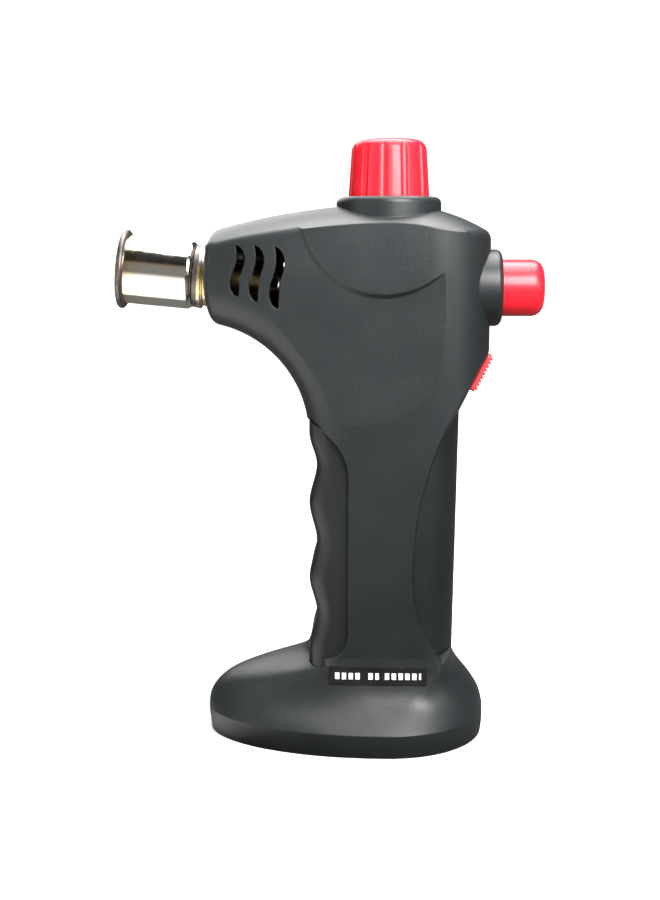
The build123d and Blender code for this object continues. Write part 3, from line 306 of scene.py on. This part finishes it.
def ceramic():
    shader = Shader("ceramic")
    shader.surface(
        Base_Color=shader.ramp(shader.noise(500.0, 3.0),
                               (0.3, (0.74, 0.70, 0.60)), (0.7, (0.88, 0.86, 0.80))),
        Roughness=shader.spread(shader.noise(900.0, 2.0), 0.18, 0.34),
    )
    shader.bump((shader.noise(700.0, 2.0), 0.000008))
    return shader.material


def wick_felt():
    shader = Shader("wick_felt")
    shader.surface(
        Base_Color=shader.ramp(shader.noise(1800.0, 4.0, 0.7),
                               (0.3, (0.50, 0.46, 0.38)), (0.7, (0.78, 0.74, 0.66))),
        Roughness=0.95,
    )
    shader.bump((shader.noise(2400.0, 3.0, 0.7), 0.0001))
    return shader.material


def lead_black():
    shader = Shader("lead_black")
    shader.surface(
        Base_Color=shader.ramp(shader.noise(700.0, 3.0),
                               (0.3, (0.018, 0.018, 0.019)), (0.7, (0.035, 0.035, 0.036))),
        Roughness=shader.spread(shader.noise(1200.0, 2.0), 0.48, 0.6),
    )
    shader.bump((shader.noise(1500.0, 2.0), 0.00002))
    return shader.material


# blocks on the sticker, in millimetres along X: (first, last) of each group
LABEL_GROUPS = ((-2.4, 4.6), (6.2, 8.9), (10.4, 19.7))
LABEL_PITCH = 1.75
LABEL_BLOCK = 1.15
LABEL_BLOCK_HEIGHT = 1.6


def label_black():
    """Glossy black film with rows of plain white blocks in place of any words."""
    shader = Shader("label_black")
    x_mm = shader.math("MULTIPLY", shader.axis("X"), MM)
    z_mm = shader.math("MULTIPLY", shader.axis("Z"), MM)
    middle = MM * (label_low.z + label_high.z) / 2
    inside = shader.math("COMPARE", z_mm, middle)
    inside.node.inputs[2].default_value = LABEL_BLOCK_HEIGHT / 2
    shown = None
    for first, last in LABEL_GROUPS:
        run = shader.math("SUBTRACT", x_mm, first)
        # whole pitches are added so that the remainder is taken of a positive length
        step = shader.math("MODULO", shader.math("ADD", run, 100 * LABEL_PITCH), LABEL_PITCH)
        block = shader.math("MULTIPLY", shader.math("LESS_THAN", step, LABEL_BLOCK),
                            shader.math("MULTIPLY", shader.math("GREATER_THAN", run, 0.0),
                                        shader.math("LESS_THAN", run, last - first)))
        shown = block if shown is None else shader.math("MAXIMUM", shown, block)
    mask = shader.math("MULTIPLY", shown, inside)
    ink = shader.ramp(shader.noise(900.0, 2.0), (0.3, (0.78, 0.78, 0.77)), (0.7, (0.88, 0.88, 0.87)))
    film = shader.ramp(shader.noise(200.0, 3.0), (0.3, (0.006, 0.006, 0.007)), (0.7, (0.012, 0.012, 0.013)))
    shader.surface(
        Base_Color=shader.blend(mask, film, ink),
        Roughness=shader.spread(shader.noise(400.0, 3.0), 0.10, 0.20),
    )
    shader.bump((shader.noise(300.0, 2.0), 0.00003), edge=0.00005)
    return shader.material


def seam_shadow():
    """The dark line where the two halves of the housing meet."""
    shader = Shader("seam_shadow")
    shader.surface(
        Base_Color=shader.ramp(shader.noise(900.0, 2.0),
                               (0.3, (0.006, 0.006, 0.007)), (0.7, (0.012, 0.012, 0.013))),
        Roughness=shader.spread(shader.noise(600.0, 2.0), 0.6, 0.8),
    )
    shader.bump((shader.noise(1500.0, 2.0), 0.00001))
    return shader.material


# material of each slot in the record, and of nodes that look different from their slot
SLOT_MAKERS = (body_black, tank_black, inner_black, red_gloss, red_slider, chrome, heat_steel, steel,
               zinc_steel, brass, copper, ceramic, seal_rubber, wick_felt, lead_black, label_black)
materials = {make.__name__: make() for make in SLOT_MAKERS}
special = {"nozzle_nut": nozzle_brass(), "burner_tube": tarnish_and_shade_brass()}
for part in frame["record"]["subparts"]:
    mesh = nodes[part["node"]].data
    mesh.materials.clear()
    mesh.materials.append(special.get(part["node"], materials[part["material_slot"]]))

# =============================== line where the two shells meet ===================================

SEAM_RADIUS = 0.00009
SEAM_DEPTH = 0.00005          # the line's centre lies this far inside the surface
SEAM_LOWEST = 0.0015


def seam_edges(node):
    """Edges of a half's cut face on the plane Y = 0, as pairs of points."""
    mesh = bmesh.new()
    mesh.from_mesh(nodes[node].data)
    bmesh.ops.remove_doubles(mesh, verts=mesh.verts, dist=1e-6)
    pairs = []
    for edge in mesh.edges:
        if max(abs(v.co.y) for v in edge.verts) > 2e-6 or min(v.co.z for v in edge.verts) < SEAM_LOWEST:
            continue
        flat = [abs(face.normal.y) > 0.999 for face in edge.link_faces]
        if len(flat) == 2 and flat[0] != flat[1]:
            outer = edge.link_faces[flat.index(False)]
            inward = -outer.normal * SEAM_DEPTH
            inward.y = 0
            pairs.append(tuple((v.co + inward).copy() for v in edge.verts))
    mesh.free()
    return pairs


def chain(pairs):
    """Joins edges into runs of points."""
    def key(point):
        return (round(point.x, 5), round(point.z, 5))

    ends = {}
    for index, pair in enumerate(pairs):
        for point in pair:
            ends.setdefault(key(point), []).append(index)
    unused = set(range(len(pairs)))
    runs = []
    while unused:
        first = min(unused)
        unused.discard(first)
        run = list(pairs[first])
        for _ in range(2):
            while True:
                near = [i for i in ends[key(run[-1])] if i in unused]
                if not near:
                    break
                unused.discard(near[0])
                a, b = pairs[near[0]]
                run.append(b if key(a) == key(run[-1]) else a)
            run.reverse()
        runs.append(run)
    return runs


def parting_line():
    curve = bpy.data.curves.new("parting_line", "CURVE")
    curve.dimensions = "3D"
    curve.bevel_depth = SEAM_RADIUS
    curve.bevel_resolution = 2
    curve.use_fill_caps = True
    for run in chain(seam_edges("shell_left")):
        if len(run) < 3:
            continue
        spline = curve.splines.new("POLY")
        spline.points.add(len(run) - 1)
        for point, place in zip(spline.points, run):
            point.co = (*place, 1.0)
    piece = bpy.data.objects.new("parting_line", curve)
    bpy.context.scene.collection.objects.link(piece)
    curve.materials.append(seam_shadow())
    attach(piece, "housing")


parting_line()

# ============================================= studio =============================================

FLOOR_HALF = 1.6
WALL_START = 0.75             # the backdrop starts to rise this far behind the torch
WALL_RADIUS = 0.5
WALL_STEPS = 24
WALL_HEIGHT = 2.0
CARD_EDGE_X = -0.036          # a white card lies in front of the burner, up to here
CARD_BACK_Y = 0.0
CARD_FADE = 0.01              # width over which the card ends
FLOOR_BOUNCE = 0.05           # what the rest of the paper throws back onto the torch


def floor_material():
    """White paper to the eye; only the card beside the burner throws much light back."""
    shader = Shader("paper")
    paper = shader.ramp(shader.noise(6.0, 3.0), (0.3, (0.86, 0.86, 0.86)), (0.7, (0.89, 0.89, 0.89)))
    beside = shader.spread(shader.axis("X"), 1.0, 0.0, CARD_EDGE_X - CARD_FADE, CARD_EDGE_X + CARD_FADE)
    before = shader.spread(shader.axis("Y"), 1.0, 0.0, CARD_BACK_Y - CARD_FADE, CARD_BACK_Y + CARD_FADE)
    card = shader.math("MAXIMUM", shader.math("MULTIPLY", beside, before), FLOOR_BOUNCE)
    seen = shader.add("ShaderNodeLightPath").outputs["Is Camera Ray"]
    bounce = shader.blend(card, (0.0, 0.0, 0.0), (0.9, 0.9, 0.88))
    shader.surface(Base_Color=shader.blend(seen, bounce, paper), Roughness=0.8)
    shader.bump((shader.noise(400.0, 3.0), 0.00002))
    return shader.material


def backdrop():
    """A sheet of pale paper that lies flat and rises behind the torch."""
    profile = [(-FLOOR_HALF, 0.0), (WALL_START, 0.0)]
    for index in range(1, WALL_STEPS + 1):
        turn = pi / 2 * index / WALL_STEPS
        profile.append((WALL_START + WALL_RADIUS * sin(turn), WALL_RADIUS * (1 - cos(turn))))
    profile.append((WALL_START + WALL_RADIUS, WALL_HEIGHT))
    mesh = bmesh.new()
    rows = [[mesh.verts.new((x, y, z)) for y, z in profile] for x in (-FLOOR_HALF, FLOOR_HALF)]
    for index in range(len(profile) - 1):
        left, right = rows
        face = mesh.faces.new((left[index], right[index], right[index + 1], left[index + 1]))
        face.smooth = True
    data = bpy.data.meshes.new("backdrop")
    mesh.to_mesh(data)
    mesh.free()
    data.materials.append(floor_material())
    piece = bpy.data.objects.new("backdrop", data)
    bpy.context.scene.collection.objects.link(piece)


def softbox(name, place, target, width, height, power):
    """A white rectangular light at place that points at target."""
    light = bpy.data.lights.new(name, "AREA")
    light.shape = "RECTANGLE"
    light.size = width
    light.size_y = height
    light.energy = power
    lamp = bpy.data.objects.new(name, light)
    lamp.visible_camera = False
    lamp.location = place
    lamp.rotation_euler = (Vector(target) - Vector(place)).to_track_quat("-Z", "Y").to_euler()
    bpy.context.scene.collection.objects.link(lamp)


WORLD_STRENGTH = 0.27
ROOM_STOPS = (
    (0.0, (0.90, 0.90, 0.90)), (0.30, (0.92, 0.90, 0.86)), (0.42, (0.95, 0.82, 0.62)),
    (0.55, (0.06, 0.05, 0.055)), (0.80, (0.10, 0.10, 0.10)), (1.0, (0.30, 0.30, 0.31)),
)
ROOM_FADE = {"From Min": -0.2, "From Max": 0.3, "To Min": 1.0, "To Max": 0.22}


def surroundings():
    """Room light by height: pale near the horizon, a dark band above it, soft white overhead."""
    world = bpy.data.worlds.new("studio")
    bpy.context.scene.world = world
    world.use_nodes = True
    tree = world.node_tree
    place = tree.nodes.new("ShaderNodeTexCoord")
    split = tree.nodes.new("ShaderNodeSeparateXYZ")
    ramp = tree.nodes.new("ShaderNodeValToRGB")
    tree.links.new(place.outputs["Generated"], split.inputs["Vector"])
    tree.links.new(split.outputs["Z"], ramp.inputs["Fac"])
    elements = ramp.color_ramp.elements
    while len(elements) < len(ROOM_STOPS):
        elements.new(0.5)
    for element, (position, colour) in zip(elements, ROOM_STOPS):
        element.position = position
        element.color = (*colour, 1.0)
    room = tree.nodes["Background"]
    room.inputs["Strength"].default_value = WORLD_STRENGTH
    # the room is darker behind the torch, so that its outline stays dark
    fade = tree.nodes.new("ShaderNodeMapRange")
    for name, value in ROOM_FADE.items():
        fade.inputs[name].default_value = value
    tree.links.new(split.outputs["Y"], fade.inputs["Value"])
    dimmed = tree.nodes.new("ShaderNodeMixRGB")
    dimmed.blend_type = "MULTIPLY"
    dimmed.inputs["Fac"].default_value = 1.0
    tree.links.new(ramp.outputs["Color"], dimmed.inputs["Color1"])
    tree.links.new(fade.outputs["Result"], dimmed.inputs["Color2"])
    tree.links.new(dimmed.outputs["Color"], room.inputs["Color"])
    white = tree.nodes.new("ShaderNodeBackground")
    white.inputs["Color"].default_value = (1, 1, 1, 1)
    path = tree.nodes.new("ShaderNodeLightPath")
    either = tree.nodes.new("ShaderNodeMixShader")
    tree.links.new(path.outputs["Is Camera Ray"], either.inputs[0])
    tree.links.new(room.outputs[0], either.inputs[1])
    tree.links.new(white.outputs[0], either.inputs[2])
    tree.links.new(either.outputs[0], tree.nodes["World Output"].inputs["Surface"])


backdrop()
surroundings()
softbox("key", (0.095, -0.175, 0.225), (0.012, 0.0, 0.10), 0.12, 0.12, 1.2)
softbox("front", (0.16, -0.36, 0.46), (0.01, 0.0, 0.11), 0.24, 0.24, 0.5)
softbox("top", (0.05, 0.02, 0.60), (0.0, 0.0, 0.0), 0.40, 0.40, 4.8)
softbox("left", (-0.60, -0.30, 0.35), (0.0, 0.0, 0.10), 0.30, 0.50, 0.9)
softbox("right", (0.55, -0.40, 0.30), (0.0, 0.0, 0.12), 0.30, 0.40, 1.5)
softbox("behind", (-0.25, 0.55, 0.45), (0.0, 0.0, 0.08), 0.50, 0.40, 2.0)
softbox("paper_light", (0.0, 0.55, 1.30), (0.0, 0.7, 0.0), 1.6, 0.8, 32.0)

# ============================================= camera =============================================

CAMERA_PLACE = (0.00752, -0.357, 0.12457)
CAMERA_DOWN = 7.931           # degrees below the horizon
CAMERA_LEFT = 1.880           # degrees turned towards -X

camera_data = bpy.data.cameras.new("camera")
camera_data.lens = 54.84
camera_data.sensor_width = 36.0
camera_data.clip_start = 0.01
camera_data.clip_end = 20.0
camera = bpy.data.objects.new("camera", camera_data)
camera.location = CAMERA_PLACE
camera.rotation_euler = Euler((radians(90 - CAMERA_DOWN), 0, radians(CAMERA_LEFT)), "XYZ")
bpy.context.scene.collection.objects.link(camera)
bpy.context.scene.camera = camera
bpy.context.scene.view_settings.view_transform = "Standard"
